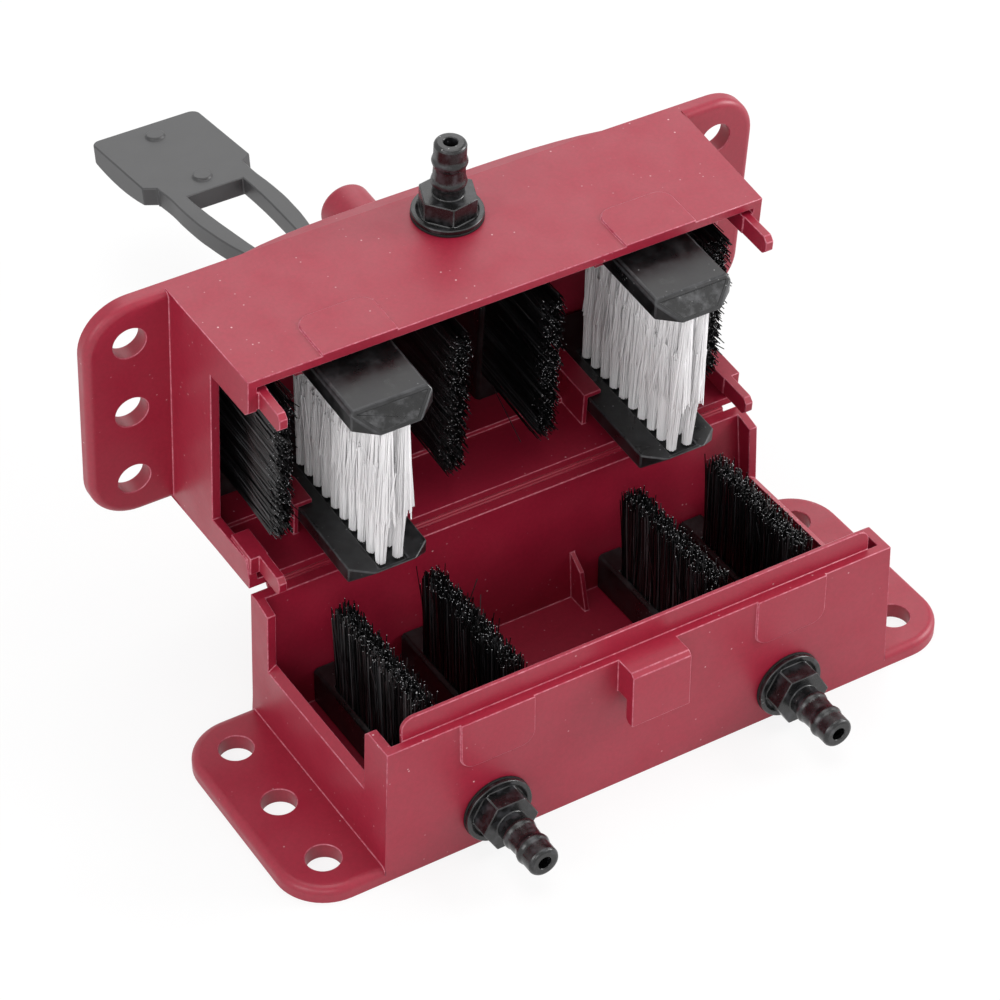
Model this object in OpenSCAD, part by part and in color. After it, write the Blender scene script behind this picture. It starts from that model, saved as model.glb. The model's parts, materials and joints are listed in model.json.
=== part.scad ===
// Bike chain cleaner: a hinged box of brushes that shuts round the lower run of a chain.
// The chain runs in at the notch of one end wall and out at the other. Liquid comes in at the
// spigot on the lid and leaves by the two spigots on the base.
// Millimetres. The origin is at the centre of the base's underside: X runs along the box,
// Y to the hinge and Z up. The lid stands open.

/* [Box] */
// Length of the box where its halves meet
box_l = 130; // [126:1:150]
// Depth of the base, front to back
box_d = 60.4; // [58:0.2:66]
// Height of the base
base_h = 37.1; // [34:0.1:44]
// Height of the lid at its ears
lid_h = 37.5; // [35:0.1:44]
// Thickness of the front walls and the lid's back wall
wall_t = 2.2; // [1.8:0.1:2.3]
// Thickness of the lid's plate
plate_t = 1.8; // [1.4:0.1:2.2]
// Thickness of the end walls
end_t = 2.2; // [1.6:0.1:2.5]
// Thickness of the base's back wall at its top
back_t = 2.9; // [2:0.1:3.2]
// What the back wall gains in thickness down to the floor
back_foot = 1.8; // [0.5:0.1:2.5]
// Thickness of the floor
floor_t = 3; // [2:0.1:3]
// Lean of each end wall, from the parting line out to its ear
end_draft = 1.3; // [0:0.1:2]

/* [Crown of the lid] */
// Rise of the crown over the ears
crown_rise = 3.4; // [1:0.1:5]
// Length of the crown
crown_l = 94; // [80:1:100]
// How far the crown's long sides lean in
crown_lean = 1; // [0:0.1:2]

/* [Ears] */
// Length over the ears
ears_l = 173; // [168:1:190]
// Thickness of an ear
ear_t = 4; // [3:0.1:5]
// Corner radius of an ear, seen from above
ear_r = 12; // [8:0.5:14]
// Radius along the ear's edge on the parting side
ear_edge_r = 1.8; // [0.5:0.1:2.4]
// Diameter of the holes
ear_hole_d = 8; // [5:0.5:9]
// Distance between the holes
ear_pitch = 20; // [16:0.5:20]
// Distance of the holes from the ear's end
ear_hole_in = 10.7; // [9:0.1:11]

/* [Notches] */
// Distance of a notch from the front and the back of its end wall
notch_in = 8.7; // [8.7:0.1:12]
// Depth of the base's notches
base_notch = 15.6; // [10:0.2:20]
// Depth of the lid's notches
lid_notch = 16; // [10:0.2:20]
// How far behind the middle the notches sit
notch_back = 1; // [0:0.1:1.5]
// Chamfer at the mouth of a notch
notch_c = 1.4; // [0.5:0.1:2]

/* [Rim and tongues] */
// Height of the rim behind the base's front wall
rim_rise = 5.7; // [3:0.1:6]
// Thickness of the rim
rim_t = 1; // [0.8:0.1:1.2]
// Corner radius of the rim
rim_r = 3; // [1:0.5:4]
// Thickness of the lid's guide tongues
tongue_t = 2; // [1.2:0.1:2]
// How far the tongues stand out of the lid
tongue_drop = 9; // [5:0.5:10]
// Width of the tongues
tongue_w = 4.8; // [3:0.1:5]

/* [Hinge and latch] */
// Angle of the open lid
lid_open = 85; // [40:1:110]
// Radius of the film hinge's bead
bead_r = 0.45; // [0.3:0.05:0.6]
// Swing of the strap past square to the lid
strap_swing = 11.5; // [-60:0.1:60]
// Length of the strap from its pivot
strap_l = 137.6; // [130:0.2:150]
// Greatest width of the strap's arms
strap_w = 24.8; // [24:0.2:26]
// Thickness of the strap
strap_t = 5; // [3:0.1:5.4]
// Width of the pull tab
tab_w = 30.8; // [26:0.2:36]
// Length of the pull tab
tab_l = 30.6; // [24:0.2:34]
// Diameter of the strap's pivot bar
pivot_d = 4; // [3:0.1:4.4]
// Width of the hook on the base
hook_w = 15; // [10:0.5:15]
// How far the hook stands out
hook_out = 6; // [5:0.1:8]
// Height of the hook's lip below the parting line
hook_drop = 15.1; // [12:0.1:17]

/* [Handle peg] */
// Diameter of the peg on the lid
peg_d = 12.8; // [8:0.2:13]
// How far the peg stands out of the crown
peg_l = 33.2; // [20:0.2:36]
// Bore of the peg, open to the inside
peg_bore = 9; // [4:0.2:9]

/* [Brush bars] */
// Distance from a bar's middle to its end of the box
bar_in = 27; // [26.6:0.1:27.4]
// Width of a bar
bar_w = 19.8; // [19:0.1:20]
// Thickness of a bar
bar_t = 4.9; // [4:0.1:5]
// How far a bar reaches past the parting line
bar_drop = 17.8; // [14:0.1:18]
// Rows of tufts on a bar
tuft_rows = 10; // [6:1:10]
// Distance between the rows
tuft_pitch = 4; // [3.6:0.1:4]
// Distance between a bar's two columns of tufts
tuft_gap = 4.2; // [3.6:0.1:5]
// Length of the tufts
tuft_l = 28; // [18:0.5:34]

/* [Brush strips] */
// Width of a strip
strip_w = 6.8; // [5.6:0.1:7]
// Height of the strips in the base
base_strip_h = 9.7; // [7:0.1:12]
// Height of the outer strips in the lid
lid_strip_h = 10; // [7:0.1:12]
// Distance of the lid's inner strips from the middle
inner_strip_x = 12; // [11:0.1:16]
// Rows of bristles on a strip
strip_rows = 13; // [8:1:13]

/* [Spigots] */
// How far outside the bars' middle the base's spigots sit
drain_out = 0.4; // [0:0.1:0.8]
// Diameter of the flange
flange_d = 16.4; // [14:0.1:17]
// Size of the hexagon across its flats
hex_af = 12; // [10:0.1:12.4]
// Height of the hexagon
hex_h = 4.7; // [3:0.1:8]
// Length of the barbed end
barb_l = 13.8; // [11:0.2:16]
// Diameter of the barbs
barb_d = 8.2; // [7.8:0.1:9]
// Bore of the spigot
barb_bore = 3.2; // [2:0.1:4]
// Diameter of the stub through the wall
stub_d = 8; // [6:0.1:8.4]
// Size of the lock nut across its flats
nut_af = 11.4; // [10:0.1:11.4]
// Height of the base's spigots above the table
drain_z = 8.9; // [8.8:0.1:10]
// Height of the lid's spigot above the parting line
inlet_w = 28.3; // [26:0.1:29]

/* [Hidden] */
$fn = 28;

// One overrun for every cut, and the fits
over = 1;
fit = 0.05;      // push fit, each side
slip = 0.1;      // sliding fit, each side

// Hinge axis and the lid's own frame: u runs from the axis to the front, w from it to the plate
hinge_out = 0.6;
hinge_up = 0.5;
hinge_y = box_d / 2 + hinge_out;
hinge_z = base_h + hinge_up;
hinge_l = box_l - 4 * end_t;
lid_lip = 0.4;
lid_u0 = bead_r + fit;
lid_u1 = box_d + hinge_out + lid_lip;
plate_w = lid_h - plate_t;
liner_w = 17.2;
liner_t = 1.2;

// Places along the box
bar_x = box_l / 2 - bar_in;
drain_x = bar_x + drain_out;
notch_w = box_d - 2 * notch_in;

// Inner faces of the base
base_front = -box_d / 2 + wall_t;
rim_back = base_front + rim_t;
base_back = box_d / 2 - back_t;
rim_end_gap = 2.6;

// Rails that hold the bars: a leg beside the bar and a flange over its face
rail_t = 1.2;
rail_lap = 3.4;
rail_w0 = 8.4;
back_bar_gap = 2.8;
front_bar_gap = 3.1;
back_bar_u = lid_u0 + wall_t + back_bar_gap;
front_bar_u = lid_u1 - wall_t - front_bar_gap;
bar_end_slant = 5;
bar_end_c = 5;
bar_end_ch = 4;
bar_back_c = 0.75;
rib_in = 4;

// Guide tongues: clearance in the base's ends, and gaps to the walls behind and before them
tongue_slip = 0.4;
tongue_back_gap = 1.9;
tongue_front_gap = 1.4;

// Pads on the front walls, in line with the bars
pad_w = 18.4;
pad_h = 12.9;
pad_t = 0.5;
pad_r = 3.5;

// Gussets between the floor and the back wall
gusset_gap = 6.6;
gusset_t = 1.2;
gusset_foot = 6.1;
gusset_shoulder = 3.6;
gusset_shoulder_h = 9.9;
gusset_h = 13.2;

// Hook: a block on the wall with a lip hanging from its front
hook_lip_t = 2.6;
hook_block_h = 8.8;
hook_lead = 1;

// Strap pivot over the crown, and the lugs that clip round its bar
pivot_u = 7;
pivot_rise = 3.2;
pivot_w = lid_h + crown_rise + pivot_rise;
lug_wall = 1.6;
lug_t = 2.5;
lug_gap = 0.4;
lug_mouth_share = 0.62;
knuckle_d = 5;
window_l = 96.5;
window_start = 4;
tab_r = 2.5;
button_r = 2.5;
button_h = 0.7;
button_in = 7.2;
button_pitch = 27;
belly_h = 1.5;
belly_steps = 8;

// Places along the strap as shares of its length, with the half widths of its outside and of
// its window as shares of its greatest half width
strap_shares = [
    [0.000, 0.960, 0.597], [0.110, 0.960, 0.597], [0.220, 0.960, 0.597], [0.300, 0.935, 0.590],
    [0.360, 0.830, 0.510], [0.410, 0.750, 0.445], [0.447, 0.782, 0.476], [0.483, 0.855, 0.516],
    [0.520, 0.919, 0.548], [0.556, 0.960, 0.581], [0.593, 0.992, 0.609], [0.629, 1.000, 0.629],
    [0.666, 0.996, 0.641], [0.710, 0.976, 0.645], [0.762, 1.000, 0.645]
];
strap_steps = 3;

// Bristles
slice_t = 1;
slice_w = 4;
bar_slice_w = 7;
strand_r = 0.45;
tuft_r = 0.42;
tuft_strand_r = 0.38;
strip_offset = 1.5;
strip_column = 0.8;
strip_end = 7.4;
strip_lean = 0.35;
strip_uneven = 0.5;
tuft_start = 3.3;
tuft_spread = 0.25;
tuft_uneven = 0.8;
strip_c = 0.8;
lid_strip_in = 9;

// Spigots
washer_t = 0.6;
washer_lip = 0.1;
flange_t = 1.1;
flange_rim = 1.2;
flange_dish = 0.4;
nut_t = 5;
stub_out = 0.6;
stub_gap = 0.1;
inlet_turn = 10;
neck_d = 7.2;
ridges = 2;
ridge_pitch = 5.4;
ridge_l = 3.2;
ridge_steps = 3;
tip_land = 2.6;
tip_d = 7.4;
tip_r = 0.8;

// Half the inside length of a half at height h over the parting line, whose ear is at full
function half_in(h, full) = box_l / 2 - end_t + end_draft * h / full;

// Height of the lid's plate over the parting line, inside, at a distance x from the middle
function plate_in(x) = plate_w
    + (abs(x) < crown_l / 2 ? crown_rise * (1 - pow(abs(x) / (crown_l / 2), 4)) : 0);

crown_steps = 16;
function crown_xs() = [for (i = [0 : crown_steps]) crown_l * (1 / 2 - i / crown_steps)];

// Point of a smooth curve through the rows of a table, at row i and t of the way to the next
function row(table, i) = table[max(0, min(len(table) - 1, i))];
function smooth(table, i, t) = let (
    a = row(table, i - 1), b = row(table, i), c = row(table, i + 1), d = row(table, i + 2)
) (2 * b + (c - a) * t + (2 * a - 5 * b + 4 * c - d) * t * t
    + (3 * b - a - 3 * c + d) * t * t * t) / 2;
function smooth_rows(table, steps) = concat(
    [for (i = [0 : len(table) - 2], k = [0 : steps - 1]) smooth(table, i, k / steps)],
    [table[len(table) - 1]]);

// A repeatable unevenness between -1 and 1
function uneven(i) = sin(i * 137.5) * cos(i * 61);

// Rectangle with its two upper corners rounded, standing on the X axis
module round_top(w, h, r) {
    translate([-w / 2, 0]) square([w, h - r]);
    translate([-w / 2 + r, 0]) square([w - 2 * r, h]);
    for (s = [-1, 1]) translate([s * (w / 2 - r), h - r]) circle(r);
}

// Profile in Y and Z drawn out along X, centred
module along_x(l) {
    rotate([90, 0, 90]) translate([0, 0, -l / 2]) linear_extrude(l) children();
}

// Profile in X and Z drawn out along Y, from y0 to y1
module along_y(y0, y1) {
    translate([0, y1, 0]) rotate([90, 0, 0]) linear_extrude(y1 - y0) children();
}

// The lid's frame when shut, turned open about the hinge
module on_lid() {
    translate([0, hinge_y, hinge_z]) rotate([-lid_open, 0, 0]) children();
}

// Ears: one plate with rounded corners and a rounded upper edge
module ear_plate(d) {
    along_x(ears_l - 2 * ear_r) round_top(d, ear_t, ear_edge_r);
    along_y(-d / 2 + ear_r, d / 2 - ear_r) round_top(ears_l, ear_t, ear_edge_r);
    for (x = [-1, 1], y = [-1, 1])
        translate([x * (ears_l / 2 - ear_r), y * (d / 2 - ear_r), 0])
            rotate_extrude() intersection() {
                round_top(2 * ear_r, ear_t, ear_edge_r);
                square([2 * ear_r, ear_t]);
            }
}

module ear_holes() {
    for (s = [-1, 1], i = [-1 : 1])
        translate([s * (ears_l / 2 - ear_hole_in), i * ear_pitch, -over])
            cylinder(d = ear_hole_d, h = ear_t + 2 * over);
}

module base_outer() {
    along_y(-box_d / 2, box_d / 2) polygon([
        [-box_l / 2 - end_draft, 0], [box_l / 2 + end_draft, 0],
        [box_l / 2, base_h], [-box_l / 2, base_h]
    ]);
}

module base_cavity() {
    top = base_h + over;
    floor_half = half_in(base_h - floor_t, base_h);
    back_slope = back_foot / (base_h - floor_t);
    intersection() {
        along_y(-box_d, box_d) polygon([
            [-floor_half, floor_t], [floor_half, floor_t],
            [half_in(-over, base_h), top], [-half_in(-over, base_h), top]
        ]);
        along_x(2 * box_l) polygon([
            [base_front, floor_t], [base_back - back_foot, floor_t],
            [base_back + over * back_slope, top], [base_front, top]
        ]);
    }
}

// Notch in an end wall, hanging from the parting line, with a chamfer at the front and a
// longer fall at the back
module notch_profile(depth) {
    front = notch_back - notch_w / 2;
    back = notch_back + notch_w / 2;
    fall = 3.6 * notch_c;
    polygon([
        [front - notch_c, over], [front - notch_c, 0], [front, -notch_c], [front, -depth],
        [back, -depth], [back, -notch_c], [back + fall, 0], [back + fall, over]
    ]);
}

module base_notches() {
    sill = base_h - base_notch;
    inner = half_in(base_notch, base_h);
    translate([0, 0, base_h]) along_x(2 * box_l) notch_profile(base_notch);
    for (s = [-1, 1])
        along_y(notch_back - notch_w / 2, notch_back + notch_w / 2) polygon([
            [s * inner, sill], [s * inner, sill + over],
            [s * (inner + 2 * end_t), sill + over], [s * (inner + 2 * end_t), sill - 1.4 * end_t]
        ]);
}

// Rim behind the front wall, down to the floor
module rim() {
    w = box_l - 2 * end_t - 2 * rim_end_gap;
    along_y(base_front, rim_back) translate([0, floor_t - over / 2])
        round_top(w, base_h + rim_rise - floor_t + over / 2, rim_r);
    along_y(base_front - over, rim_back) translate([-w / 2, floor_t - over / 2])
        square([w, base_h - floor_t + over / 2]);
}

module gussets() {
    foot = base_back - back_foot;
    gusset_x = inner_base_x - strip_w / 2 - gusset_gap;
    for (s = [-1, 1]) translate([s * gusset_x, 0, 0]) along_x(gusset_t) polygon([
        [foot - gusset_foot, floor_t - over], [foot - gusset_foot, floor_t],
        [foot - gusset_shoulder, floor_t + gusset_shoulder_h],
        [base_back - back_foot / 2, floor_t + gusset_h],
        [base_back + over, floor_t + gusset_h], [base_back + over, floor_t - over]
    ]);
}

module hook() {
    front = -box_d / 2;
    top = base_h;
    lip = base_h - hook_drop;
    translate([0, front, 0]) along_x(hook_w) polygon([
        [over, top], [-hook_out + hook_lead, top], [-hook_out, top - hook_lead], [-hook_out, lip],
        [-hook_out + hook_lip_t - hook_lead, lip], [-hook_out + hook_lip_t, lip + hook_lead],
        [-hook_out + hook_lip_t, top - hook_block_h], [over, top - hook_block_h]
    ]);
}

// Low pads on a front wall, hanging from the parting line
module pads(y) {
    for (s = [-1, 1]) translate([s * bar_x, 0, 0]) mirror([0, 0, 1])
        along_y(y - pad_t, y + wall_t / 2) round_top(pad_w, pad_h, pad_r);
}

// Where the spigots stand: each child's Z axis is the spigot's, from the wall's outer face
module at_drains() {
    for (s = [-1, 1]) at_drain(s) children();
}
module at_drain(s) {
    translate([s * drain_x, -box_d / 2, drain_z]) rotate([90, 0, 0]) children();
}
module at_inlet() {
    translate([0, -lid_u1, inlet_w]) rotate([90, 0, 0]) children();
}

module stub_hole(depth) {
    translate([0, 0, -depth - over]) cylinder(d = stub_d + 2 * stub_gap, h = depth + 2 * over);
}

module base_shell() {
    color("firebrick") difference() {
        union() {
            difference() {
                union() {
                    ear_plate(box_d);
                    base_outer();
                }
                base_cavity();
            }
            rim();
            gussets();
            hook();
            translate([0, 0, base_h]) pads(-box_d / 2);
        }
        base_notches();
        ear_holes();
        at_drains() stub_hole(wall_t + rim_t);
    }
}

// Outline of the lid along its length: half0 and half1 are its half lengths at the heights low
// and top, and the crown rises over top
module lid_ends(half0, half1, top, low) {
    polygon(concat(
        [[-half0, low], [half0, low], [half1, top]],
        [for (x = crown_xs()) [x, top + plate_in(x) - plate_w]],
        [[-half1, top]]
    ));
}

module lid_outer() {
    intersection() {
        along_y(-lid_u1, -lid_u0)
            lid_ends(box_l / 2, box_l / 2 + end_draft, lid_h, 0);
        along_x(2 * box_l) polygon([
            [-lid_u0, 0], [-lid_u0, lid_h], [-lid_u0 - crown_lean, lid_h + crown_rise],
            [-lid_u1 + crown_lean, lid_h + crown_rise], [-lid_u1, lid_h], [-lid_u1, 0]
        ]);
    }
}

module lid_cavity() {
    along_y(-lid_u1 + wall_t, -lid_u0 - wall_t)
        lid_ends(half_in(-over, lid_h), half_in(plate_w, lid_h), plate_w, -over);
}

// Rails and ribs round one bar. f is the bar's back face, wall the wall behind it
module bar_rails(f, wall, dir) {
    face = f + dir * (bar_t + slip);
    span = lid_h + crown_rise;
    for (s = [-1, 1]) {
        leg = s * (bar_w / 2 + slip);
        tip = leg - s * rail_lap;
        out = leg + s * rail_t;
        translate([0, 0, rail_w0]) linear_extrude(span) {
            polygon([
                [leg, -wall], [out, -wall], [out, -face - dir * rail_t],
                [tip, -face - dir * rail_t], [tip, -face], [leg, -face]
            ]);
            translate([s * (bar_w / 2 - rib_in) - rail_t / 2, min(-wall, -f + dir * fit)])
                square([rail_t, abs(f - wall) - fit]);
        }
    }
}

module lid_rails() {
    intersection() {
        for (s = [-1, 1]) translate([s * bar_x, 0, 0]) {
            bar_rails(back_bar_u, lid_u0 + wall_t / 2, 1);
            bar_rails(front_bar_u, lid_u1 - wall_t / 2, -1);
        }
        lid_outer();
    }
}

// Thicker upper part of the hinge wall
module lid_liner() {
    intersection() {
        translate([-box_l, -lid_u0 - wall_t - liner_t, liner_w])
            cube([2 * box_l, liner_t + wall_t / 2, lid_h]);
        lid_outer();
    }
}

// Guide tongues inside the lid's end walls, that slip inside the base's ends
module lid_tongues() {
    back = lid_u0 + wall_t + tongue_back_gap;
    front = lid_u1 - wall_t - tongue_front_gap;
    outer = half_in(0, lid_h) - tongue_slip;
    tip_c = tongue_w / 4;
    for (s = [-1, 1], u = [back, front - tongue_w]) {
        translate([s * (outer - tongue_t / 2), -u, 0]) along_x(tongue_t) polygon([
            [0, tongue_drop], [0, tip_c - tongue_drop], [-tip_c, -tongue_drop],
            [tip_c - tongue_w, -tongue_drop], [-tongue_w, tip_c - tongue_drop],
            [-tongue_w, tongue_drop]
        ]);
        translate([s * outer, -u, 0]) along_x(2 * end_t) polygon([
            [0, tongue_drop], [0, 0], [-tongue_w, 0], [-tongue_w, tongue_drop]
        ]);
    }
}

// Lugs on the crown that clip round the strap's pivot bar
module lid_lugs() {
    r = pivot_d / 2 + fit;
    wall_r = r + lug_wall;
    for (s = [-1, 1])
        translate([s * (strap_w / 2 * strap_shares[0][1] + lug_gap + lug_t / 2), -pivot_u, pivot_w])
            along_x(lug_t) difference() {
                union() {
                    circle(wall_r);
                    translate([-wall_r, -pivot_rise - wall_t / 2])
                        square([2 * wall_r, pivot_rise + wall_t / 2]);
                }
                circle(r);
                translate([-lug_mouth_share * r, 0]) square([2 * lug_mouth_share * r, 2 * wall_r]);
            }
}

// Peg on the crown, rounded at its end
module lid_peg() {
    translate([0, -(lid_u0 + lid_u1) / 2, plate_w + crown_rise]) rotate_extrude() intersection() {
        round_top(peg_d, peg_l + wall_t, peg_d / 8);
        square([peg_d, peg_l + wall_t]);
    }
}

module lid_shell() {
    mid = (lid_u0 + lid_u1) / 2;
    color("firebrick") on_lid() difference() {
        union() {
            difference() {
                union() {
                    translate([0, -mid, lid_h]) mirror([0, 0, 1]) ear_plate(lid_u1 - lid_u0);
                    lid_outer();
                }
                lid_cavity();
                translate([0, -hinge_y, 0]) mirror([0, 0, 1])
                    along_x(2 * box_l) notch_profile(lid_notch);
            }
            lid_liner();
            lid_rails();
            lid_tongues();
            lid_lugs();
            lid_peg();
            mirror([0, 0, 1]) pads(-lid_u1);
        }
        translate([0, -mid, lid_h]) mirror([0, 0, 1]) ear_holes();
        translate([0, -mid, plate_w - over])
            cylinder(d = peg_bore, h = over + crown_rise + peg_l);
        at_inlet() stub_hole(wall_t);
    }
}

// Film hinge: a round bead on the axis, on a web that grows from the base's back wall
module film_hinge() {
    color("indianred") {
        translate([0, hinge_y, hinge_z]) rotate([0, 90, 0])
            cylinder(r = bead_r, h = hinge_l, center = true);
        along_x(hinge_l) polygon([
            [box_d / 2, base_h - 2 * hinge_up],
            [hinge_y + bead_r * sin(45), hinge_z - bead_r * sin(45)],
            [hinge_y - bead_r / 4, hinge_z - bead_r / 4], [box_d / 2, base_h]
        ]);
    }
}

// Pull tab seen from above, and the belly under it
module tab_outline() {
    translate([0, strap_l - tab_l]) round_top(tab_w, tab_l, tab_r);
}

module tab_belly() {
    intersection() {
        translate([0, 0, -strap_t / 2 - belly_h]) linear_extrude(strap_t) tab_outline();
        along_x(2 * tab_w) polygon(concat([[strap_l, 0], [strap_l - tab_l, 0]],
            [for (i = [0 : belly_steps], t = [2 * i / belly_steps - 1])
                [strap_l - tab_l * (1 - t) / 2, -strap_t / 2 - belly_h * (1 - t * t)]]
        ));
    }
}

// Strap seen from above: y runs from the pivot to the pull tab
module strap_outline() {
    rows = smooth_rows(strap_shares, strap_steps);
    side = [for (p = rows) [p[1] * strap_w / 2, p[0] * strap_l]];
    tab_y = strap_l - tab_l;
    neck = side[len(side) - 1];
    difference() {
        union() {
            polygon(concat(side, [for (i = [len(side) - 1 : -1 : 0]) [-side[i][0], side[i][1]]]));
            polygon([
                [neck[0], neck[1] - over], neck, [tab_w / 2, tab_y], [tab_w / 2, tab_y + tab_r],
                [-tab_w / 2, tab_y + tab_r], [-tab_w / 2, tab_y], [-neck[0], neck[1]],
                [-neck[0], neck[1] - over]
            ]);
            tab_outline();
        }
        intersection() {
            polygon(concat(
                [for (p = rows) [p[2] * strap_w / 2, p[0] * strap_l]],
                [for (i = [len(rows) - 1 : -1 : 0])
                    [-rows[i][2] * strap_w / 2, rows[i][0] * strap_l]]
            ));
            translate([-strap_w / 2, window_start]) square([strap_w, window_l - window_start]);
        }
    }
}

// Low round button on the strap's upper face
module button(y) {
    translate([0, y, strap_t / 2 - over]) cylinder(r = button_r, h = over + button_h);
}

module latch_strap() {
    bar_half = strap_w / 2 * strap_shares[0][1] + lug_gap + lug_t + lug_gap;
    color("dimgray") on_lid() translate([0, -pivot_u, pivot_w]) rotate([90 - strap_swing, 0, 0]) {
        translate([0, 0, -strap_t / 2]) linear_extrude(strap_t) strap_outline();
        tab_belly();
        rotate([0, 90, 0]) cylinder(d = knuckle_d, h = strap_w * strap_shares[0][1], center = true);
        rotate([0, 90, 0]) cylinder(d = pivot_d, h = 2 * bar_half, center = true);
        button(strap_l - button_in);
        button(strap_l - button_in - button_pitch);
    }
}

// Profile of the barbed end from its neck to its tip, with round ridges
function barb_profile(z) = let (
    land = z + barb_l - tip_r - tip_land,
    last = land - ridge_l / 2,
    rise = (barb_d - neck_d) / 4
) concat(
    [[0, z - over], [neck_d / 2, z - over]],
    [for (i = [ridges - 1 : -1 : 0], k = [-ridge_steps : ridge_steps - 1])
        [neck_d / 2 + rise * (1 + cos(180 * k / ridge_steps)),
            last - i * ridge_pitch + k / ridge_steps * ridge_l / 2]],
    [[tip_d / 2, land], [tip_d / 2, land + tip_land],
        [tip_d / 2 - tip_r * (1 - cos(45)), land + tip_land + tip_r * sin(45)],
        [tip_d / 2 - tip_r, land + tip_land + tip_r], [0, land + tip_land + tip_r]]
);

// Spigot: flange, hexagon and barbed end, with a stub that passes the wall
module spigot(depth, turn = 0) {
    hex_z = washer_t + flange_t;
    neck_z = hex_z + hex_h;
    color("black") rotate([0, 0, turn]) difference() {
        union() {
            translate([0, 0, -depth - nut_t - stub_out])
                cylinder(d = stub_d, h = depth + nut_t + stub_out + washer_t + flange_t / 2);
            rotate_extrude() polygon([
                [0, washer_t], [flange_d / 2, washer_t], [flange_d / 2, hex_z],
                [flange_d / 2 - flange_rim, hex_z],
                [flange_d / 2 - flange_rim - flange_dish, hex_z - flange_dish],
                [0, hex_z - flange_dish]
            ]);
            translate([0, 0, washer_t + flange_t / 2])
                cylinder(r = hex_af / 2 / cos(30), h = hex_h + flange_t / 2, $fn = 6);
            rotate_extrude() polygon(barb_profile(neck_z));
        }
        translate([0, 0, -depth - nut_t - stub_out - over])
            cylinder(d = barb_bore, h = depth + nut_t + stub_out + neck_z + barb_l + 2 * over);
    }
}

module left_drain_spigot() { at_drain(-1) spigot(wall_t + rim_t); }
module right_drain_spigot() { at_drain(1) spigot(wall_t + rim_t); }
module inlet_spigot() { on_lid() at_inlet() spigot(wall_t, inlet_turn); }

module washer() {
    color("darkslategray") difference() {
        cylinder(d = flange_d + 2 * washer_lip, h = washer_t);
        translate([0, 0, -over]) cylinder(d = stub_d + 2 * stub_gap, h = washer_t + 2 * over);
    }
}

module drain_washers() { at_drains() washer(); }
module inlet_washer() { on_lid() at_inlet() washer(); }

module nut(depth) {
    color("black") translate([0, 0, -depth - nut_t]) difference() {
        cylinder(r = nut_af / 2 / cos(30), h = nut_t, $fn = 6);
        translate([0, 0, -over]) cylinder(d = stub_d + 2 * fit, h = nut_t + 2 * over);
    }
}

module drain_nuts() { at_drains() nut(wall_t + rim_t); }
module inlet_nut() { on_lid() at_inlet() nut(wall_t); }

// Places a bar drawn with its back face on y = 0 and its bristles towards +Y
module faced(f, dir) {
    translate([0, -f, 0]) mirror([0, dir > 0 ? 1 : 0, 0]) children();
}

// Brush bar: x across, y to the bristles, z to the plate
module bar(f, dir) {
    top = plate_w - slip;
    low = -bar_drop;
    color("black") on_lid() faced(f, dir) intersection() {
        along_x(2 * bar_w) polygon([
            [0, top], [bar_t, top], [bar_t, low], [0, low + bar_end_slant]
        ]);
        along_y(-over, bar_t + over) polygon([
            [-bar_w / 2, top], [bar_w / 2, top], [bar_w / 2, low + bar_end_ch],
            [bar_w / 2 - bar_end_c, low], [bar_end_c - bar_w / 2, low], [-bar_w / 2, low + bar_end_ch]
        ]);
        translate([0, 0, low - over]) linear_extrude(top - low + 2 * over) polygon([
            [bar_back_c - bar_w / 2, 0], [bar_w / 2 - bar_back_c, 0],
            [bar_w / 2, bar_back_c], [bar_w / 2, bar_t], [-bar_w / 2, bar_t],
            [-bar_w / 2, bar_back_c]
        ]);
    }
}

// The slice of the bar that holds the tufts
module bar_slice(grow) {
    l = tuft_rows * tuft_pitch;
    translate([-bar_slice_w / 2 - grow, bar_t - slice_t, -bar_drop + tuft_start - tuft_pitch / 2 - grow])
        cube([bar_slice_w + 2 * grow, slice_t + grow, l + 2 * grow]);
}

module brush_bar(s, f, dir) {
    translate([s * bar_x, 0, 0]) difference() {
        bar(f, dir);
        on_lid() faced(f, dir) bar_slice(fit);
    }
}

// Tufts of three strands in two columns; the two bars' rows pass between each other
module bar_bristles(s, f, dir) {
    stagger = dir > 0 ? 0 : tuft_pitch / 2;
    color("whitesmoke") translate([s * bar_x, 0, 0]) on_lid() faced(f, dir) {
        bar_slice(0);
        for (i = [0 : tuft_rows - 1], c = [-1, 1], k = [0 : 2]) {
            x = c * tuft_gap / 2 + tuft_r * cos(90 + 120 * k);
            z = -bar_drop + tuft_start + i * tuft_pitch - stagger / 2 + tuft_r * sin(90 + 120 * k);
            l = tuft_l + tuft_uneven * uneven(7 * i + 3 * c + 11 * k);
            lean = atan(tuft_spread * cos(90 + 120 * k) / tuft_l);
            translate([x, bar_t - slice_t / 2, z]) rotate([-90, 0, -lean])
                cylinder(r = tuft_strand_r, h = l + slice_t / 2, $fn = 3);
        }
    }
}

module back_left_bar() { brush_bar(-1, back_bar_u, 1); }
module back_right_bar() { brush_bar(1, back_bar_u, 1); }
module front_left_bar() { brush_bar(-1, front_bar_u, -1); }
module front_right_bar() { brush_bar(1, front_bar_u, -1); }
module back_left_bristles() { bar_bristles(-1, back_bar_u, 1); }
module back_right_bristles() { bar_bristles(1, back_bar_u, 1); }
module front_left_bristles() { bar_bristles(-1, front_bar_u, -1); }
module front_right_bristles() { bar_bristles(1, front_bar_u, -1); }

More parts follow.
